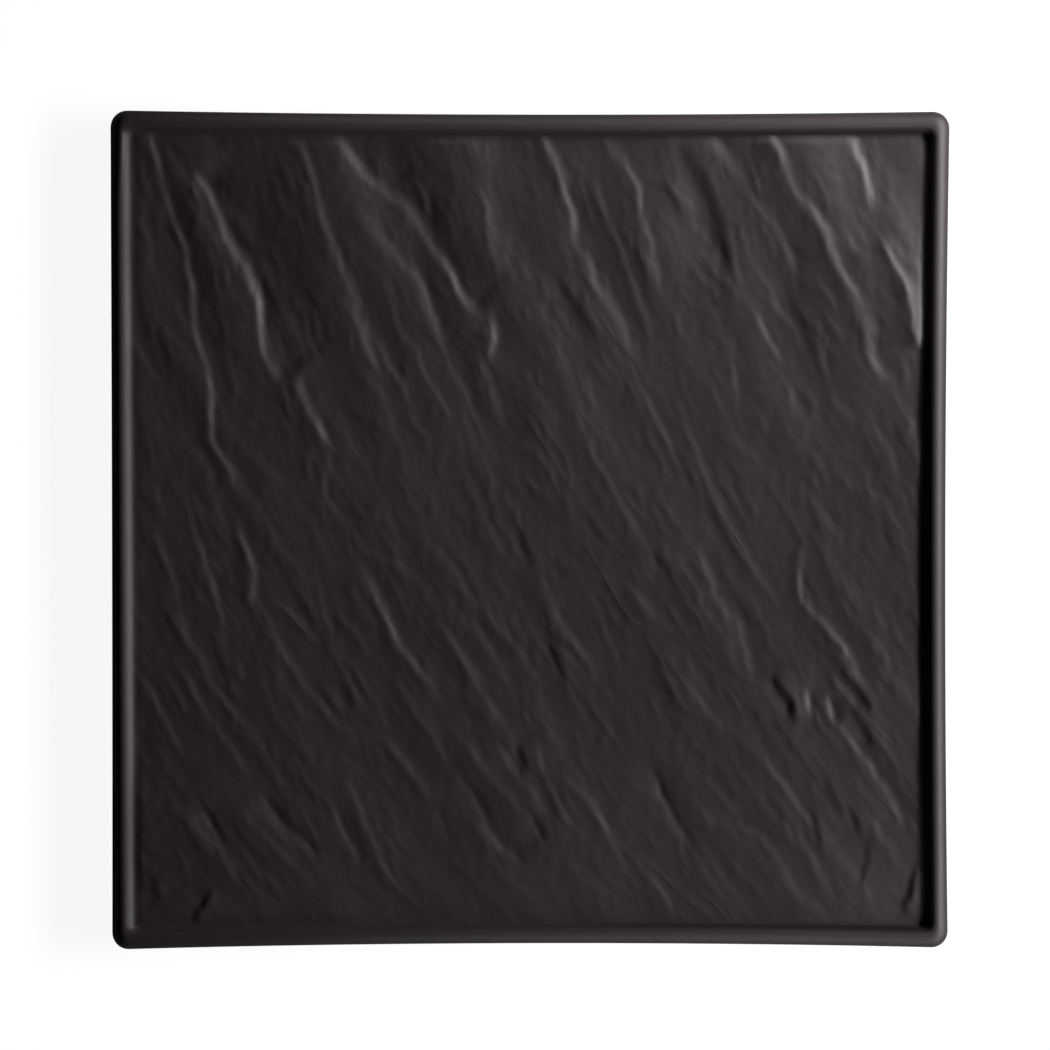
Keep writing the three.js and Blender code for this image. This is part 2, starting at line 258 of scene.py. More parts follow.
        (0.72, 3.4, [(-6, 3.5), (-1.5, -5.5), (2, -15)]),
        (0.47, 3.4, [(16.5, 9.5), (21.5, 3), (28, -7.5)]),
        (0.53, 3.1, [(40, -5.5), (48, -11.5), (51.5, -20)]),
        (0.66, 3.2, [(5, -38), (9.5, -48.5), (13, -56)]),
        (0.22, 3, [(30, -21.5), (32.5, -27), (34.5, -36)]),
        (1.04, 5.2, [(-6.5, -75), (-3, -81.5), (0, -88.5)]),
        (0.42, 3.4, [(60.5, 14), (67, 3), (72.5, -5.5), (80.5, -17)]),
        (0.58, 3, [(-20.5, 71.5), (-18.5, 68.5), (-17, 66)]),
        (1.5, 3.4, [(85, -49.5), (91.5, -59), (93.5, -65.5), (94.5, -71.5)]),
        (1.4, 2, [(110, -49), (114, -53.5), (118, -57.5), (121, -62), (122.5, -67)]),
        (1.3, 3, [(113, -62.5), (117.5, -68.5), (121, -74), (125.5, -80.5)]),
    ],
    "ridge": [
        (0.3, 2.6, [(-44.5, 64.5), (-45.5, 53), (-46.5, 43)]),
        (0.45, 2.3, [(42, -46.5), (48, -52.5), (51.5, -60.5), (61, -71)]),
        (0.65, 2.2, [(46.5, 129), (52.5, 118.5), (55.5, 109)]),
        (0.32, 2.2, [(0.5, 94.5), (4, 87.5), (6.5, 79.5)]),
        (0.52, 2.2, [(9.5, 94), (14.5, 84), (21.5, 74), (26, 66.5)]),
        (0.38, 2, [(97.5, 4), (104.5, -8.5), (109.5, -19), (120.5, -32), (128, -45)]),
    ],
    "cleft": [
        (0.75, 1.8, [(39.5, -78), (43.5, -86.5), (49, -98.5), (55.5, -109), (60.5, -117.5)]),
        (0.85, 1.5, [(-119, -95.5), (-114.5, -103.5), (-111, -111), (-106, -115)]),
        (0.85, 1.5, [(-98, -91.5), (-90, -103), (-82.5, -110), (-74.5, -118.5)]),
        (0.6, 1.4, [(-27.5, -83.5), (-22, -93.5), (-17.5, -99.5), (-12.5, -110)]),
        (0.56, 1.4, [(0, -100), (2, -106.5), (4.5, -113)]),
        (0.42, 1.4, [(-36.5, -96.5), (-30, -107), (-27.5, -114.5)]),
        (0.7, 1.2, [(60, -101.5), (68, -103), (75, -104.5), (84, -108.5), (92, -112.5)]),
        (0.7, 1.2, [(-58, 123.5), (-51, 126), (-45, 127.5), (-41, 130.5)]),
    ],
}
STROKE_TAPER = 20.0  # how far from its ends a shallow stroke starts to die out, and a deep one later
MOST_TAPER = 0.4  # share of a stroke's length that this is at most
STROKE_REACHES = 3  # how many times its reach a stroke is felt

# Broad hills under the strokes: place, width across the grain, length along it, height
HILLS = [
    (106, 112, 24, 50, 2.05),
    (-72, 112, 17, 45, 0.9),
    (-22, 120, 16, 40, 0.8),
    (34, 118, 14, 40, 0.6),
    (62, -32, 34, 45, 0.9),
    (-141, -100, 20, 60, 0.45),
    (-96, -124, 26, 34, 0.7),
]

# Flakes between the strokes: spacing across the grain, width of the break, depth, usual length, noise layer
LARGE_FLAKES = (13.0, 3.2, 0.34, 36.0, 41.3)
SMALL_FLAKES = (5.2, 2.0, 0.2, 13.0, 61.3)
BACKWARD_FLAKES = (6.4, 1.8, 0.2, 15.0, 71.3)  # these climb to the left and break off there
FLAKE_SHOWN = (-0.05, 0.6)  # levels of the noise between which a flake comes up
FLAKE_STRIDE = 0.137  # width of the noise, in flakes, so narrow that neighbours differ

# Noise along the grain: each part has its strength, its width across the grain, its length and its layer
BROAD_SWELL = [(0.5, 42, 90, 3.1)]
SWELL = [(1.0, 17, 36, 7.7)]
PEBBLE = [(0.1, 3.0, 3.6, 23.1)]
RAGGED_X = [(1.3, 6, 9, 11.3), (0.6, 2.4, 4, 12.9)]  # how far the strokes stray from their drawn lines
RAGGED_Y = [(0.8, 6, 9, 14.2)]
DROP_WAVER = [(0.5, 8, 13, 17.1)]  # shares by which the drop and width of the strokes come and go
WIDTH_WAVER = [(0.5, 14, 20, 19.3)]
LARGE_WANDER = [(11, 60, 80, 31.7), (5, 22, 26, 33.3), (2.6, 8, 10, 35.9), (0.6, 2.5, 4, 37.1)]
SMALL_WANDER = [(9, 50, 60, 51.7), (4.5, 14, 18, 53.3), (2.4, 5, 6, 55.9), (0.9, 2.2, 2.6, 57.9)]

# Changes from the front of the floor to its back, each between two places in mm behind the middle
SWELL_GROWTH = (0, 80)  # the swell gets higher
SWELL_FRONT = 0.3
SWELL_BACK = 0.75
BACKWARD_FADE = (-40, 60)  # the backward flakes get shallower
BACKWARD_LOSS = 0.6
CALM_BAND = (-120, -138)  # the floor is smoother beside the front rim
CALM_LOSS = 0.6


def smoothstep(low, high, value):
    part = np.clip((value - low) / (high - low), 0, 1)
    return part * part * (3 - 2 * part)


def hex_colour(text):
    """The linear colour of an sRGB hex value."""
    levels = [int(text[i : i + 2], 16) / 255 for i in (1, 3, 5)]
    return [v / 12.92 if v <= 0.04045 else ((v + 0.055) / 1.055) ** 2.4 for v in levels] + [1.0]


def add_node(tree, kind, inputs=None, **settings):
    """Adds a node. inputs gives each socket, by name or number, a value or the output to link it to."""
    node = tree.nodes.new(kind)
    for name, value in settings.items():
        setattr(node, name, value)
    for socket, value in (inputs or {}).items():
        if isinstance(value, bpy.types.NodeSocket):
            tree.links.new(value, node.inputs[socket])
        else:
            node.inputs[socket].default_value = value
    return node


def new_material(name):
    material = bpy.data.materials.new(name)
    material.use_nodes = True
    material.node_tree.nodes.clear()
    return material, material.node_tree


def new_piece(name, bm, materials):
    """Turns a finished bmesh, in metres, into an object of the scene."""
    mesh = bpy.data.meshes.new(name)
    bm.to_mesh(mesh)
    bm.free()
    piece = bpy.data.objects.new(name, mesh)
    bpy.context.collection.objects.link(piece)
    for material in materials:
        mesh.materials.append(material)
    return piece


# Outline and sections of the platter


def drawn_in(x, y):
    """Moves points by the bow that the kiln gave to each side. The corners stay in place."""
    across_bow = np.maximum(0, 1 - (x / (HALF_WIDTH - CORNER_RADIUS)) ** 2)
    along_bow = np.maximum(0, 1 - (y / (HALF_DEPTH - CORNER_RADIUS)) ** 2)
    side_draw = np.where(x > 0, DRAW_IN["right"], DRAW_IN["left"])
    end_draw = np.where(y > 0, DRAW_IN["back"], DRAW_IN["front"])
    return x * (1 - side_draw * along_bow / HALF_WIDTH), y * (1 - end_draw * across_bow / HALF_DEPTH)


def outline_points(stations, inset, radius):
    """Points of the rounded outline that lies inset inside the platter's own, before the kiln draws it in.

    Stations run from 0 to 4, one unit to a side from corner to corner: right, back, left and front.
    """
    side = np.floor(stations).astype(int) % 4
    fraction = 2 * (stations - np.floor(stations)) - 1
    upright = side % 2 == 0
    reach = np.where(upright, HALF_WIDTH, HALF_DEPTH) - inset
    straight = np.where(upright, HALF_DEPTH, HALF_WIDTH) - inset - radius
    length = np.abs(fraction) * (straight + radius * math.pi / 4)
    angle = np.maximum(0, length - straight) / radius
    along = np.sign(fraction) * (np.minimum(length, straight) + radius * np.sin(angle))
    out = reach - radius * (1 - np.cos(angle))
    x = np.choose(side, [out, -along, -out, along])
    y = np.choose(side, [along, out, -along, -out])
    return x, y


def rim_radius(inset):
    return np.maximum(CORNER_RADIUS - inset, WELL_CORNER_RADIUS)


def foot_radius(inset):
    return max(FOOT_CORNER_RADIUS + FOOT_INSET - inset, RECESS_CORNER_RADIUS)


def crest_insets(stations):
    """Inset of the crest at each station, blended from side to side around the corners."""
    side = np.floor(stations).astype(int) % 4
    part = stations - np.floor(stations)
    insets = np.array(CREST_INSETS)
    from_start, from_end = smoothstep(0, CORNER_BLEND, part), smoothstep(0, CORNER_BLEND, 1 - part)
    splay = np.where(side == 2, LEFT_SPLAY * HALF_DEPTH * (1 - 2 * part) * from_start * from_end, 0)
    own, before, after = insets[side] - splay, insets[side - 1], insets[(side + 1) % 4]
    return own + (before - own) * (1 - from_start) / 2 + (after - own) * (1 - from_end) / 2


def slope_climb(x, y):
    """Share of the rim's height that its inner slope has reached at places that aren't drawn in yet."""
    insets = np.array((HALF_WIDTH - x, HALF_DEPTH - y, HALF_WIDTH + x + LEFT_SPLAY * y, HALF_DEPTH + y)).T
    parts = (np.array(RIM_WIDTHS) - insets) / (np.array(RIM_WIDTHS) - np.array(CREST_INSETS))
    sideways, lengthways = np.maximum(parts[:, 0], parts[:, 2]), np.maximum(parts[:, 1], parts[:, 3])
    in_corner = np.minimum(sideways, lengthways) > -CORNER_SHARE
    around = np.hypot(sideways + CORNER_SHARE, lengthways + CORNER_SHARE) - CORNER_SHARE
    part = np.clip(np.where(in_corner, around, np.maximum(sideways, lengthways)), 0, 1)
    return np.where(part < FILLET_SHARE, part**2 / FILLET_SHARE, 1 - (1 - part) ** 2 / (1 - FILLET_SHARE))


def top_height(climb, lift):
    """Height of the floor and the inner slope, on which the relief dies out as the slope climbs."""
    return FLOOR_Z + (CREST_Z - FLOOR_Z) * climb + lift * (1 - climb) ** 2


def wall_section():
    """Rows of the shoulder, the wall and the lower edge: share of the crest's inset, further inset, z."""
    rows = []
    for step in range(1, SHOULDER_STEPS + 1):
        angle = math.pi / 2 * step / SHOULDER_STEPS
        rows.append((1 - math.sin(angle), 0, SHOULDER_Z + SHOULDER_DROP * math.cos(angle)))
    wall_height = SHOULDER_Z - UNDERSIDE_Z
    round_part = 1 - LOWER_EDGE_ROUND / math.hypot(wall_height, WALL_LEAN)
    for step in range(1, WALL_STEPS + 1):
        part = round_part * step / WALL_STEPS
        rows.append((0, WALL_LEAN * part, SHOULDER_Z - wall_height * part))
    _, start_inset, start_z = rows[-1]
    end_inset = WALL_LEAN + LOWER_EDGE_ROUND
    for step in range(1, EDGE_STEPS + 1):
        part = step / EDGE_STEPS
        inset = (1 - part) ** 2 * start_inset + 2 * part * (1 - part) * WALL_LEAN + part**2 * end_inset
        rows.append((0, inset, UNDERSIDE_Z + (1 - part) ** 2 * (start_z - UNDERSIDE_Z)))
    return rows


# Relief of the floor


def grain_coordinates(x, y):
    """Places across and along the grain, in mm."""
    forward = -y
    return x - (GRAIN_LEAN * forward + GRAIN_CURL * forward**2 / 2), forward


def grain_noise(across, along, wide, long, layer):
    """Smooth noise from -1 to 1, with features wide mm across the grain and long mm along it."""
    return np.array([noise.noise((a / wide, b / long, layer)) for a, b in zip(across, along)])


def smooth_path(points):
    """Rounds the corners of a path by cutting them a quarter of the way along, three times over."""
    path = np.array(points, float)
    for _ in range(3):
        before, after = path[:-1], path[1:]
        cut = np.stack([0.75 * before + 0.25 * after, 0.25 * before + 0.75 * after], axis=1).reshape(-1, 2)
        path = np.vstack([path[:1], cut, path[-1:]])
    return path


def stroke_places(x, y, points):
    """Distance to the right of a stroke and the way along it for each point, and the stroke's length."""
    path = smooth_path(points)
    start, run = path[:-1], np.diff(path, axis=0)
    lengths = np.hypot(run[:, 0], run[:, 1])
    travelled = np.concatenate([[0], np.cumsum(lengths)[:-1]])
    from_x, from_y = x[:, None] - start[:, 0], y[:, None] - start[:, 1]
    part = np.clip((from_x * run[:, 0] + from_y * run[:, 1]) / lengths**2, 0, 1)
    off_x, off_y = from_x - part * run[:, 0], from_y - part * run[:, 1]
    nearest = np.argmin(off_x**2 + off_y**2, axis=1)
    row = np.arange(len(x))
    turn = off_y[row, nearest] * run[nearest, 0] - off_x[row, nearest] * run[nearest, 1]
    distance = np.hypot(off_x[row, nearest], off_y[row, nearest])
    along = travelled[nearest] + part[row, nearest] * lengths[nearest]
    return np.copysign(distance, turn), along, lengths.sum()


def stroke_profile(form, to_right, width):
    """Height across a stroke with a drop of 1."""
    left, left_reach, right, right_reach = STROKE_FORMS[form]
    crossed = smoothstep(-width / 2, width / 2, to_right)
    left_side = left * np.exp(np.minimum(0, to_right) / left_reach)
    right_side = right * np.exp(-np.maximum(0, to_right) / right_reach)
    return left_side * (1 - crossed) + right_side * crossed


def stroke_heights(x, y, drop_waver, width_waver):
    """Height of all the strokes together."""
    height = np.zeros_like(x)
    for form, rows in DRAWN_STROKES.items():
        _, left_reach, _, right_reach = STROKE_FORMS[form]
        reach = STROKE_REACHES * max(left_reach, right_reach)
        for drop, width, points in rows:
            low, high = np.min(points, axis=0) - reach, np.max(points, axis=0) + reach
            near = np.flatnonzero((x > low[0]) & (x < high[0]) & (y > low[1]) & (y < high[1]))
            to_right, along, length = stroke_places(x[near], y[near], points)
            taper = min(STROKE_TAPER / (1 + drop), MOST_TAPER * length)
            shown = smoothstep(0, taper, along) * smoothstep(0, taper, length - along)
            widths = width * (1 + width_waver[near])
            height[near] += drop * shown * (1 + drop_waver[near]) * stroke_profile(form, to_right, widths)
    return height


def hill_heights(x, y):
    """Height of all the hills together."""
    height = np.zeros_like(x)
    for hill_x, hill_y, wide, long, rise in HILLS:
        along = hill_y - y
        across = x - hill_x - (GRAIN_LEAN - GRAIN_CURL * hill_y) * along
        height += rise * np.exp(-((across / wide) ** 2) - (along / long) ** 2)
    return height


def flake_heights(across, along, flakes):
    """Flakes that climb towards greater across and break off there, each of them only here and there."""
    spacing, break_width, depth, length, layer = flakes
    number = np.floor(across / spacing)
    part = across / spacing - number
    edge = 1 - break_width / spacing
    shape = np.minimum(part / edge, 1) * (1 - smoothstep(edge, 1, part))
    shown = grain_noise(number, along, FLAKE_STRIDE, length, layer)
    return depth * shape * smoothstep(*FLAKE_SHOWN, shown)


def relief(x, y):
    """Height of the floor above its plane, in mm."""
    across, along = grain_coordinates(x, y)

    def rough(parts):
        return sum(strength * grain_noise(across, along, *sizes) for strength, *sizes in parts)

    swell_height = SWELL_FRONT + (SWELL_BACK - SWELL_FRONT) * smoothstep(*SWELL_GROWTH, y)
    swell = rough(BROAD_SWELL) + swell_height * rough(SWELL)
    drawn = stroke_heights(x + rough(RAGGED_X), y + rough(RAGGED_Y), rough(DROP_WAVER), rough(WIDTH_WAVER))
    small_wander = rough(SMALL_WANDER)
    large = flake_heights(across + rough(LARGE_WANDER), along, LARGE_FLAKES)
    small = flake_heights(across + small_wander, along, SMALL_FLAKES)
    backward = flake_heights(small_wander - across, along, BACKWARD_FLAKES)
    backward *= 1 - BACKWARD_LOSS * smoothstep(*BACKWARD_FADE, y)
    calm = 1 - CALM_LOSS * smoothstep(*CALM_BAND, y)
    return swell + hill_heights(x, y) + drawn + (large + small + backward + rough(PEBBLE)) * calm


# Meshes


def layer_values(verts, layer):
    return np.array([vert[layer] for vert in verts])


def move_verts(verts, x, y, z):
    """Moves vertices to places in mm. z is one height for all of them, or one for each."""
    for vert, *place in zip(verts, x * MM, y * MM, np.broadcast_to(z, x.shape) * MM):
        vert.co = place


def place_floor(bm, station_layer, lift_layer):
    """Spreads the grid over the floor and raises its relief.

    Each vertex on the edge notes its station on the outline and how far the relief lifts it, for the slope.
    """
    unit = np.array([vert.co for vert in bm.verts])[:, :2]
    x, y = unit[:, 0] * (HALF_WIDTH - FLOOR_EDGE), unit[:, 1] * (HALF_DEPTH - FLOOR_EDGE)
    edge = np.abs(unit).max(axis=1) > ON_EDGE
    sides = [unit[:, 0] > ON_EDGE, unit[:, 1] > ON_EDGE, unit[:, 0] < -ON_EDGE]
    fraction = np.select(sides, [unit[:, 1], -unit[:, 0], -unit[:, 1]], unit[:, 0])
    stations = np.select(sides, [0, 1, 2], 3) + (fraction + 1) / 2
    x[edge], y[edge] = outline_points(stations[edge], FLOOR_EDGE, WELL_CORNER_RADIUS)
    from_edge = np.minimum(HALF_WIDTH - FLOOR_EDGE - np.abs(x), HALF_DEPTH - FLOOR_EDGE - np.abs(y))
    shown = EDGE_RELIEF + (1 - EDGE_RELIEF) * smoothstep(0, EDGE_FADE, from_edge)
    climb = slope_climb(x, y)
    x, y = drawn_in(x, y)
    lift = relief(x, y) * shown - FLOOR_FALL * x
    move_verts(bm.verts, x, y, top_height(climb, lift))
    for vert, station, up in zip(bm.verts, stations, lift):
        vert[station_layer] = station
        vert[lift_layer] = up


def ring_edges(verts):
    """Edges of a closed row of vertices that nothing else is joined to yet."""
    return list(dict.fromkeys(edge for vert in verts for edge in vert.link_edges))


def pull_row(bm, edges, place):
    """Extrudes a closed row of edges and moves the new row to where place puts its vertices."""
    made = bmesh.ops.extrude_edge_only(bm, edges=edges)["geom"]
    place([item for item in made if isinstance(item, bmesh.types.BMVert)])
    return [item for item in made if isinstance(item, bmesh.types.BMEdge)]


def put_on_slope(verts, station_layer, lift_layer, part):
    """Moves a row to its part of the way from the floor's grid to the crest."""
    stations = layer_values(verts, station_layer)
    inset = FLOOR_EDGE + (crest_insets(stations) - FLOOR_EDGE) * part
    x, y = outline_points(stations, inset, rim_radius(inset))
    climb = np.ones_like(x) if part == 1 else slope_climb(x, y)
    move_verts(verts, *drawn_in(x, y), top_height(climb, layer_values(verts, lift_layer)))


def put_on_wall(verts, station_layer, crest_share, further, z):
    """Moves a row to a height of the wall, inset by a share of the crest's inset and further."""
    stations = layer_values(verts, station_layer)
    inset = crest_share * crest_insets(stations) + further
    move_verts(verts, *drawn_in(*outline_points(stations, inset, rim_radius(inset))), z)


def put_on_foot(verts, station_layer, inset, z):
    """Moves a row to a height of the foot band or the recess inside it."""
    stations = layer_values(verts, station_layer)
    move_verts(verts, *drawn_in(*outline_points(stations, inset, foot_radius(inset))), z)


def new_foot_ring(bm, station_layer, inset, z):
    ring = bmesh.ops.create_circle(bm, segments=FOOT_STATIONS, radius=1)["verts"]
    for number, vert in enumerate(ring):
        vert[station_layer] = 4 * number / FOOT_STATIONS
    put_on_foot(ring, station_layer, inset, z)
    return ring_edges(ring)


def new_pocket_ring(bm, low, high):
    """Mouth of the pocket for the pad that lies between the corners low and high."""
    centre = (low + high) / 2
    ring = bmesh.ops.create_circle(
        bm, segments=POCKET_SEGMENTS, radius=(high.x - low.x) / 2 + POCKET_CLEARANCE * MM,
        matrix=Matrix.Translation((centre.x, centre.y, FOOT_Z * MM)),
    )["verts"]
    return ring_edges(ring)


def add_foot(bm, station_layer, wall_edges):
    """Adds the underside: the foot band, its pockets and the recess inside it.

    Returns the faces that are ground flat.
    """

    def row(edges, inset, z):
        return pull_row(bm, edges, lambda verts: put_on_foot(verts, station_layer, inset, z))

    def fill_plane(edges):
        made = bmesh.ops.triangle_fill(bm, edges=edges, use_beauty=True, normal=(0, 0, -1))["geom"]
        return [item for item in made if isinstance(item, bmesh.types.BMFace)]

    def raise_pocket(verts):
        bmesh.ops.translate(bm, verts=verts, vec=(0, 0, POCKET_DEPTH * MM))

    inner_inset = FOOT_INSET + FOOT_WIDTH
    bend = FOOT_EDGE_ROUND * (1 - math.sqrt(0.5))  # from both faces to the middle of the round edge
    outer = new_foot_ring(bm, station_layer, FOOT_INSET, UNDERSIDE_Z)
    fill_plane(wall_edges + outer)
    outer = row(outer, FOOT_INSET, FOOT_Z + FOOT_EDGE_ROUND)
    outer = row(outer, FOOT_INSET + bend, FOOT_Z + bend)
    outer = row(outer, FOOT_INSET + FOOT_EDGE_ROUND, FOOT_Z)
    inner = new_foot_ring(bm, station_layer, inner_inset - FOOT_EDGE_ROUND, FOOT_Z)
    pockets = [new_pocket_ring(bm, low, high) for low, high in pad_boxes.values()]
    ground = fill_plane(outer + inner + [edge for pocket in pockets for edge in pocket])
    inner = row(inner, inner_inset - bend, FOOT_Z + bend)
    inner = row(inner, inner_inset, FOOT_Z + FOOT_EDGE_ROUND)
    inner = row(inner, inner_inset, UNDERSIDE_Z)
    bmesh.ops.edgeloop_fill(bm, edges=inner)
    for pocket in pockets:
        bmesh.ops.edgeloop_fill(bm, edges=pull_row(bm, pocket, raise_pocket))
    return ground


def note_grain(bm, floor_faces):
    """Notes for the finish where each vertex lies in the grain, and which ones are on the split face."""
    grain_layer = bm.verts.layers.float_vector.new("grain")
    split_layer = bm.verts.layers.float.new("split_face")
    x, y, z = np.array([vert.co for vert in bm.verts]).T / MM
    for vert, *place in zip(bm.verts, *grain_coordinates(x, y), z):
        vert[grain_layer] = place
    for face in floor_faces:
        for vert in face.verts:
            vert[split_layer] = 1.0


def make_platter(materials):
    """The fired body: the floor first, then the slope up to the crest, the wall and the underside."""
    bm = bmesh.new()
    station_layer = bm.verts.layers.float.new("station")
    lift_layer = bm.verts.layers.float.new("lift")
    bmesh.ops.create_grid(bm, x_segments=FLOOR_COLUMNS, y_segments=FLOOR_ROWS, size=1)
    place_floor(bm, station_layer, lift_layer)
    floor_faces = list(bm.faces)
    edges = [edge for edge in bm.edges if edge.is_boundary]
    for step in range(1, SLOPE_STEPS + 1):
        part = step / SLOPE_STEPS
        edges = pull_row(bm, edges, lambda verts: put_on_slope(verts, station_layer, lift_layer, part))
    for crest_share, further, z in wall_section():
        edges = pull_row(bm, edges, lambda verts: put_on_wall(verts, station_layer, crest_share, further, z))
    ground = add_foot(bm, station_layer, edges)
    bmesh.ops.recalc_face_normals(bm, faces=bm.faces)
    bm.normal_update()
    for face in bm.faces:
        face.smooth = face.normal.z > DOWNWARD
    for face in ground:
        face.material_index = 1
    note_grain(bm, floor_faces)
    return new_piece("platter", bm, materials)


def make_pad(corner, material):
    """A moulded pad: a dished middle and a ring groove in its lower face, and eased edges."""
    low, high = pad_boxes[corner]
    radius = (high.x - low.x) / 2 / MM
    top = high.z / MM
    section = PAD_DISH + PAD_GROOVE + [
        (radius - PAD_EDGE_ROUND, 0), (radius - PAD_EDGE_BEND, PAD_EDGE_BEND), (radius, PAD_EDGE_ROUND),
        (radius, top - PAD_TOP_CHAMFER), (radius - PAD_TOP_CHAMFER, top), (0, top),
    ]
    bm = bmesh.new()
    row = [bm.verts.new((r * MM, 0, z * MM)) for r, z in section]
    edges = [bm.edges.new(pair) for pair in zip(row, row[1:])]
    bmesh.ops.spin(
        bm, geom=row + edges, cent=(0, 0, 0), axis=(0, 0, 1), angle=2 * math.pi, steps=PAD_SEGMENTS,
        use_merge=True,
    )
    bmesh.ops.remove_doubles(bm, verts=bm.verts, dist=MERGE_DISTANCE * MM)
    bmesh.ops.recalc_face_normals(bm, faces=bm.faces)
    for face in bm.faces:
        face.smooth = True
    centre = (low + high) / 2
    bmesh.ops.translate(bm, verts=bm.verts, vec=(centre.x, centre.y, 0))
    return new_piece("pad_" + corner, bm, [material])


# Finishes

# Sizes and depths of the patterns. The grit of the clay and the texture of the pads are too fine to show, so
# they are drawn as coarse as they need to be
GRIT = 0.8
GRIT_DEPTH = 0.03
CLOUD = 38.0  # patches of a slightly paler black
STREAK = (1.8, 4.0)  # across and along the grain
STREAK_DEPTH = 0.16
WRINKLE = (11.0, 30.0)  # across and along the grain
WRINKLE_DEPTH = 0.2
WRINKLE_PATCH = 22.0  # places where the wrinkles show
GROUND_GRIT = 0.6
GROUND_DEPTH = 0.04
SPARK = 0.5
SPARK_DEPTH = 0.03


def vitrified_porcelain():
    """Black clay, moulded, fired until it is dense and left unglazed.

    That gives a satin black, with a faint streaky grain and a few wrinkles on the split face of the floor.
    """
    material, tree = new_material("vitrified_porcelain_moulded")
    place = add_node(tree, "ShaderNodeTexCoord")
    grain = add_node(tree, "ShaderNodeAttribute", attribute_name="grain")
    split = add_node(tree, "ShaderNodeAttribute", attribute_name="split_face")
    cloud = add_node(
        tree, "ShaderNodeTexNoise",
        {"Vector": place.outputs["Object"], "Scale": 1 / (CLOUD * MM), "Detail": 3.0},
    )
    colour = add_node(tree, "ShaderNodeMix", {"Factor": cloud.outputs["Fac"]}, data_type="RGBA")
    colour.inputs["A"].default_value = hex_colour("#170b10")
    colour.inputs["B"].default_value = hex_colour("#1c0f14")
    grit = add_node(
        tree, "ShaderNodeTexNoise",
        {"Vector": place.outputs["Object"], "Scale": 1 / (GRIT * MM), "Detail": 2.0},
    )
    roughness = add_node(
        tree, "ShaderNodeMapRange",
        {"Value": grit.outputs["Fac"], "From Min": 0.3, "From Max": 0.7, "To Min": 0.565, "To Max": 0.645},
    )
    gritty = add_node(
        tree, "ShaderNodeBump",
        {"Height": grit.outputs["Fac"], "Strength": 0.5, "Distance": GRIT_DEPTH * MM},
    )
    streak_place = add_node(
        tree, "ShaderNodeMapping",
        {"Vector": grain.outputs["Vector"], "Scale": (1 / STREAK[0], 1 / STREAK[1], 1 / STREAK[0])},
    )
    streak = add_node(
        tree, "ShaderNodeTexNoise",
        {"Vector": streak_place.outputs[0], "Scale": 1.0, "Detail": 3.0, "Distortion": 0.8},
    )
    streak_strength = add_node(
        tree, "ShaderNodeMath", {0: split.outputs["Fac"], 1: 0.35}, operation="MULTIPLY"
    )
    streaky = add_node(
        tree, "ShaderNodeBump",
        {"Height": streak.outputs["Fac"], "Strength": streak_strength.outputs[0],
         "Distance": STREAK_DEPTH * MM, "Normal": gritty.outputs["Normal"]},
    )
    wrinkle_place = add_node(
        tree, "ShaderNodeMapping",
        {"Vector": grain.outputs["Vector"], "Scale": (1 / WRINKLE[0], 1 / WRINKLE[1], 1 / WRINKLE[0])},
    )
    wrinkle = add_node(
        tree, "ShaderNodeTexNoise",
        {"Vector": wrinkle_place.outputs[0], "Scale": 1.0, "Detail": 2.0, "Roughness": 0.5,
         "Distortion": 0.7, "Offset": 1.0, "Gain": 1.0},
        noise_type="RIDGED_MULTIFRACTAL",
    )
    patch = add_node(
        tree, "ShaderNodeTexNoise",
        {"Vector": place.outputs["Object"], "Scale": 1 / (WRINKLE_PATCH * MM), "Detail": 1.0},
    )
    shown = add_node(
        tree, "ShaderNodeMapRange",
        {"Value": patch.outputs["Fac"], "From Min": 0.42, "From Max": 0.66, "To Min": 0.0, "To Max": 0.4},
    )
    wrinkle_strength = add_node(
        tree, "ShaderNodeMath", {0: split.outputs["Fac"], 1: shown.outputs[0]}, operation="MULTIPLY"
    )
    wrinkled = add_node(
        tree, "ShaderNodeBump",
        {"Height": wrinkle.outputs["Fac"], "Strength": wrinkle_strength.outputs[0],
         "Distance": WRINKLE_DEPTH * MM, "Normal": streaky.outputs["Normal"]},
    )
    shader = add_node(
        tree, "ShaderNodeBsdfPrincipled",
        {"Base Color": colour.outputs["Result"], "Roughness": roughness.outputs[0], "IOR": 1.5,
         "Normal": wrinkled.outputs["Normal"]},
    )
    add_node(tree, "ShaderNodeOutputMaterial", {"Surface": shader.outputs[0]})
    return material


def ground_porcelain():
    """The foot band, ground flat after firing: the same clay, dry and a little greyer."""
    material, tree = new_material("vitrified_porcelain_ground")
    place = add_node(tree, "ShaderNodeTexCoord")
    grit = add_node(
        tree, "ShaderNodeTexNoise",
        {"Vector": place.outputs["Object"], "Scale": 1 / (GROUND_GRIT * MM), "Detail": 3.0},
    )
    colour = add_node(tree, "ShaderNodeMix", {"Factor": grit.outputs["Fac"]}, data_type="RGBA")
    colour.inputs["A"].default_value = hex_colour("#2b2929")
    colour.inputs["B"].default_value = hex_colour("#3a3837")
    gritty = add_node(
        tree, "ShaderNodeBump",
        {"Height": grit.outputs["Fac"], "Strength": 0.6, "Distance": GROUND_DEPTH * MM},
    )
    shader = add_node(
        tree, "ShaderNodeBsdfPrincipled",
        {"Base Color": colour.outputs["Result"], "Roughness": 0.8, "IOR": 1.5,
         "Normal": gritty.outputs["Normal"]},
    )
    add_node(tree, "ShaderNodeOutputMaterial", {"Surface": shader.outputs[0]})
    return material


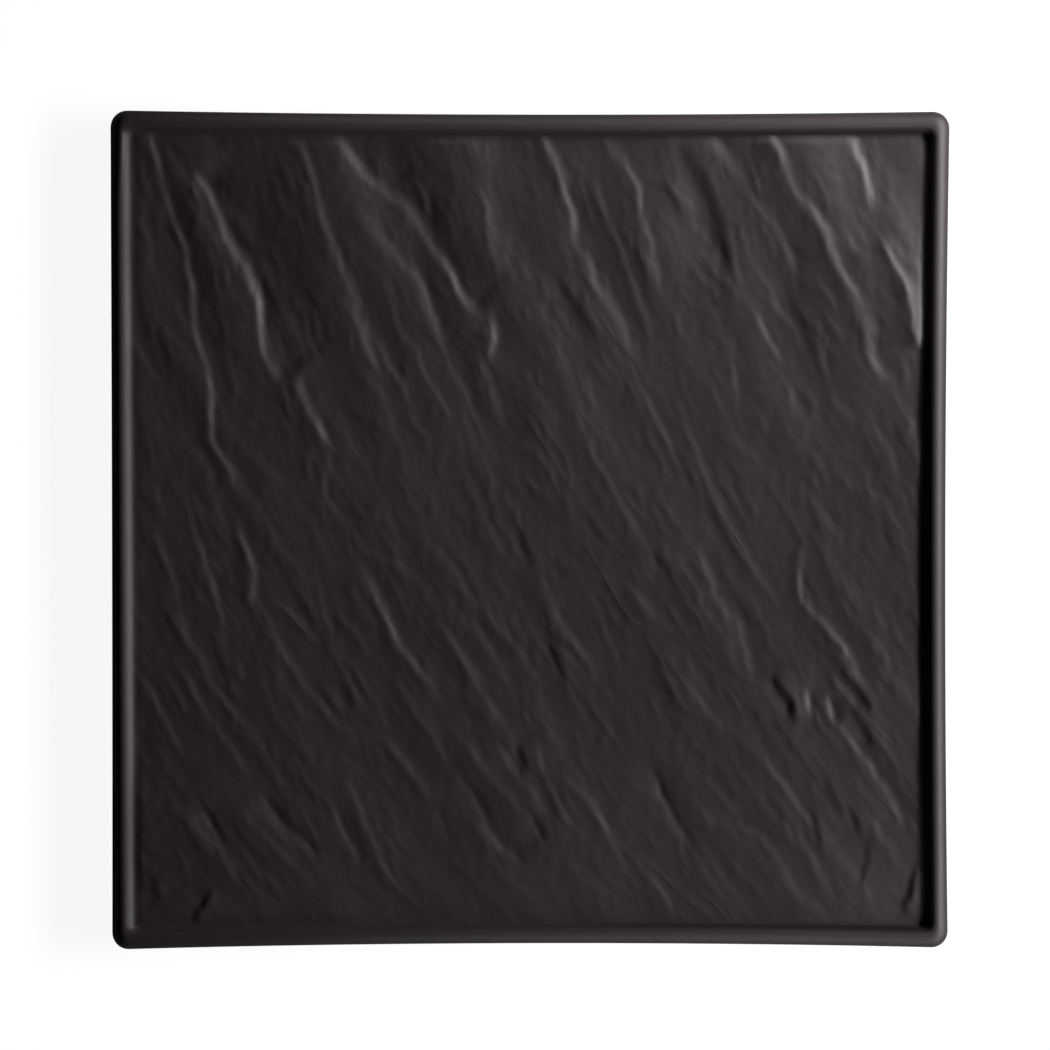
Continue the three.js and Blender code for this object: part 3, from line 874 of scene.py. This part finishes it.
def moulded_silicone():
    """Soft silicone from a spark-eroded mould: dull black with a faint bloom."""
    material, tree = new_material("silicone_moulded")
    place = add_node(tree, "ShaderNodeTexCoord")
    spark = add_node(
        tree, "ShaderNodeTexNoise",
        {"Vector": place.outputs["Object"], "Scale": 1 / (SPARK * MM), "Detail": 2.0},
    )
    colour = add_node(tree, "ShaderNodeMix", {"Factor": spark.outputs["Fac"]}, data_type="RGBA")
    colour.inputs["A"].default_value = hex_colour("#191818")
    colour.inputs["B"].default_value = hex_colour("#232222")
    sparked = add_node(
        tree, "ShaderNodeBump",
        {"Height": spark.outputs["Fac"], "Strength": 0.5, "Distance": SPARK_DEPTH * MM},
    )
    shader = add_node(
        tree, "ShaderNodeBsdfPrincipled",
        {"Base Color": colour.outputs["Result"], "Roughness": 0.7, "IOR": 1.41,
         "Normal": sparked.outputs["Normal"]},
    )
    add_node(tree, "ShaderNodeOutputMaterial", {"Surface": shader.outputs[0]})
    return material


# Studio

FRAME_PIXELS = 1050  # the photograph is square
PLATTER_PIXELS = 837.2  # width of the platter in it
PLATTER_MIDDLE = (530.7, 530.6)  # where its middle lies
CAMERA_DISTANCE = 1.4  # metres
CAMERA_LEAN_LEFT = 1.0  # degrees off straight above
CAMERA_LEAN_BACK = 1.2
SENSOR = 36.0

STUDIO_SIZE = 8.0  # metres
FLOOR_COLOUR = "#8c8c8c"
SHADOW_COLOUR = "#6c6c6c"  # how deep the camera sees the platter's shadow on the floor
FLOOR_GLOW = 0.92  # what the camera sees on top of that

# Softboxes: place and aim of the middle in metres, width, height, spread in degrees, watts. The key stands
# low on the right. The small ones brighten the back right corner, the front right of the floor, and the
# back and front rims
SOFTBOXES = {
    "key_softbox": ((1.547, 0.0, 0.705), (0, 0, 0), 1.3, 0.24, 180, 49.5),
    "corner_softbox": ((0.3, 0.26, 0.14), (0.1, 0.13, 0.01), 0.18, 0.06, 46, 0.12),
    "front_fill": ((0.26, -0.29, 0.12), (0.1, -0.15, 0.01), 0.2, 0.03, 40, 0.028),
    "back_strip": ((0.06, 0.3, 0.07), (0.03, 0.15, 0.008), 0.3, 0.03, 54, 0.032),
    "front_strip": ((0.1, -0.3, 0.05), (0.05, -0.15, 0.01), 0.3, 0.03, 90, 0.055),
}


def make_camera():
    """Sets the camera almost straight above, with the platter as large in the frame as in the photograph."""
    metres_per_pixel = 2 * HALF_WIDTH * MM / PLATTER_PIXELS
    aim = Vector((
        (FRAME_PIXELS / 2 - PLATTER_MIDDLE[0]) * metres_per_pixel,
        (PLATTER_MIDDLE[1] - FRAME_PIXELS / 2) * metres_per_pixel,
        SHOULDER_Z * MM,
    ))
    back = Vector((
        -math.tan(math.radians(CAMERA_LEAN_LEFT)), math.tan(math.radians(CAMERA_LEAN_BACK)), 1
    )).normalized()
    right = Vector((0, 1, 0)).cross(back).normalized()
    data = bpy.data.cameras.new("camera")
    data.sensor_width = SENSOR
    data.lens = SENSOR * CAMERA_DISTANCE / (FRAME_PIXELS * metres_per_pixel)
    camera = bpy.data.objects.new("camera", data)
    camera.matrix_world = Matrix.Translation(aim + back * CAMERA_DISTANCE) @ Matrix(
        (right, back.cross(right), back)
    ).transposed().to_4x4()
    bpy.context.collection.objects.link(camera)
    bpy.context.scene.camera = camera


def make_floor():
    """A pale floor. The camera sees it as white, with the platter's shadow on it."""
    material, tree = new_material("studio_floor")
    path = add_node(tree, "ShaderNodeLightPath")
    pale = add_node(tree, "ShaderNodeBsdfDiffuse", {"Color": hex_colour(FLOOR_COLOUR)})
    glow = add_node(tree, "ShaderNodeEmission", {"Strength": FLOOR_GLOW})
    shadow = add_node(tree, "ShaderNodeBsdfDiffuse", {"Color": hex_colour(SHADOW_COLOUR)})
    seen = add_node(tree, "ShaderNodeAddShader", {0: shadow.outputs[0], 1: glow.outputs[0]})
    either = add_node(
        tree, "ShaderNodeMixShader",
        {0: path.outputs["Is Camera Ray"], 1: pale.outputs[0], 2: seen.outputs[0]},
    )
    add_node(tree, "ShaderNodeOutputMaterial", {"Surface": either.outputs[0]})
    bm = bmesh.new()
    bmesh.ops.create_grid(bm, x_segments=1, y_segments=1, size=STUDIO_SIZE / 2)
    new_piece("studio_floor", bm, [material])


def make_world():
    """White for the camera only. The platter has no metal or glass, and a white sky would veil its black."""
    world = bpy.data.worlds.new("studio")
    bpy.context.scene.world = world
    world.use_nodes = True
    tree = world.node_tree
    tree.nodes.clear()
    path = add_node(tree, "ShaderNodeLightPath")
    sky = add_node(
        tree, "ShaderNodeBackground",
        {"Color": hex_colour("#ffffff"), "Strength": path.outputs["Is Camera Ray"]},
    )
    add_node(tree, "ShaderNodeOutputWorld", {"Surface": sky.outputs[0]})


def add_softbox(name, place, aim, width, height, spread, power):
    """A soft light. A spread under 180 is a honeycomb on its front."""
    data = bpy.data.lights.new(name, "AREA")
    data.shape = "RECTANGLE"
    data.size = width
    data.size_y = height
    data.spread = math.radians(spread)
    data.energy = power
    lamp = bpy.data.objects.new(name, data)
    lamp.location = place
    lamp.rotation_euler = (Vector(place) - Vector(aim)).to_track_quat("Z", "Y").to_euler()
    lamp.visible_camera = False
    bpy.context.collection.objects.link(lamp)


bpy.context.scene.view_settings.view_transform = "Standard"
make_camera()
make_floor()
make_world()
for name, setting in SOFTBOXES.items():
    add_softbox(name, *setting)

platter = make_platter([vitrified_porcelain(), ground_porcelain()])
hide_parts("platter_body")
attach(platter, ROOT)

silicone = moulded_silicone()
for corner in PADS:
    pad = make_pad(corner, silicone)
    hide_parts("foot_" + corner)
    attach(pad, ROOT)
